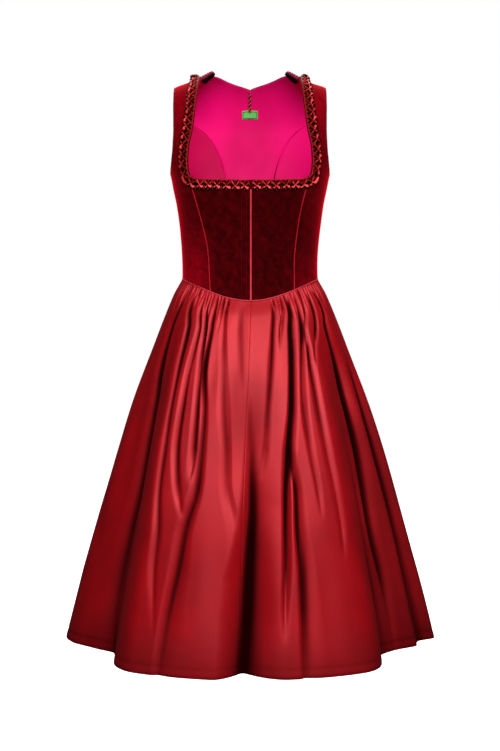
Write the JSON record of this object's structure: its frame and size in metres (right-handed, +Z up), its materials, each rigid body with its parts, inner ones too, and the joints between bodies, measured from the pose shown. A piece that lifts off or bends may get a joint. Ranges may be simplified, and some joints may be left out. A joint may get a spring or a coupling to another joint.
{
  "type": "dirndl dress",
  "caption": "Sleeveless dirndl dress held in its worn, hollow form: velvet bodice with square neckline and ruched trim, gathered satin skirt.",
  "frame": {"origin": "midway between the shoulders at the height where the straps rest on the wearer", "axes": "+Z up, -Y the front of the dress, +X the wearer's left"},
  "size_m": [0.7138, 0.5808, 1.0806],
  "materials": {
    "velvet": "cotton velvet, short dense pile",
    "lining": "smooth woven lining",
    "ruching": "ruched satin, gathered by hand",
    "piping": "satin bias piping",
    "satin": "heavy polyester satin",
    "label": "woven label",
    "cord": "twisted cord"
  },
  "bodies": {
    "root": {"bodice_front_centre_right": "velvet", "bodice_front_centre_left": "velvet", "bodice_front_side_right": "velvet", "bodice_front_side_left": "velvet", "bodice_back_centre": "velvet", "bodice_back_side_right": "velvet", "bodice_back_side_left": "velvet", "lining_back_centre": "lining", "lining_back_side_right": "lining", "lining_back_side_left": "lining", "neck_trim_right": "ruching", "neck_trim_left": "ruching", "shoulder_tab_right": "ruching", "shoulder_tab_left": "ruching", "piping_front_right": "piping", "piping_front_left": "piping", "piping_centre_front": "piping", "piping_back_right": "piping", "piping_back_left": "piping", "piping_waist": "piping", "armhole_piping_right": "piping", "armhole_piping_left": "piping", "back_neck_binding": "piping", "skirt_front_right": "satin", "skirt_front_left": "satin", "skirt_back": "satin", "label": "label", "hanger_loop": "cord"}
  },
  "joints": []
}
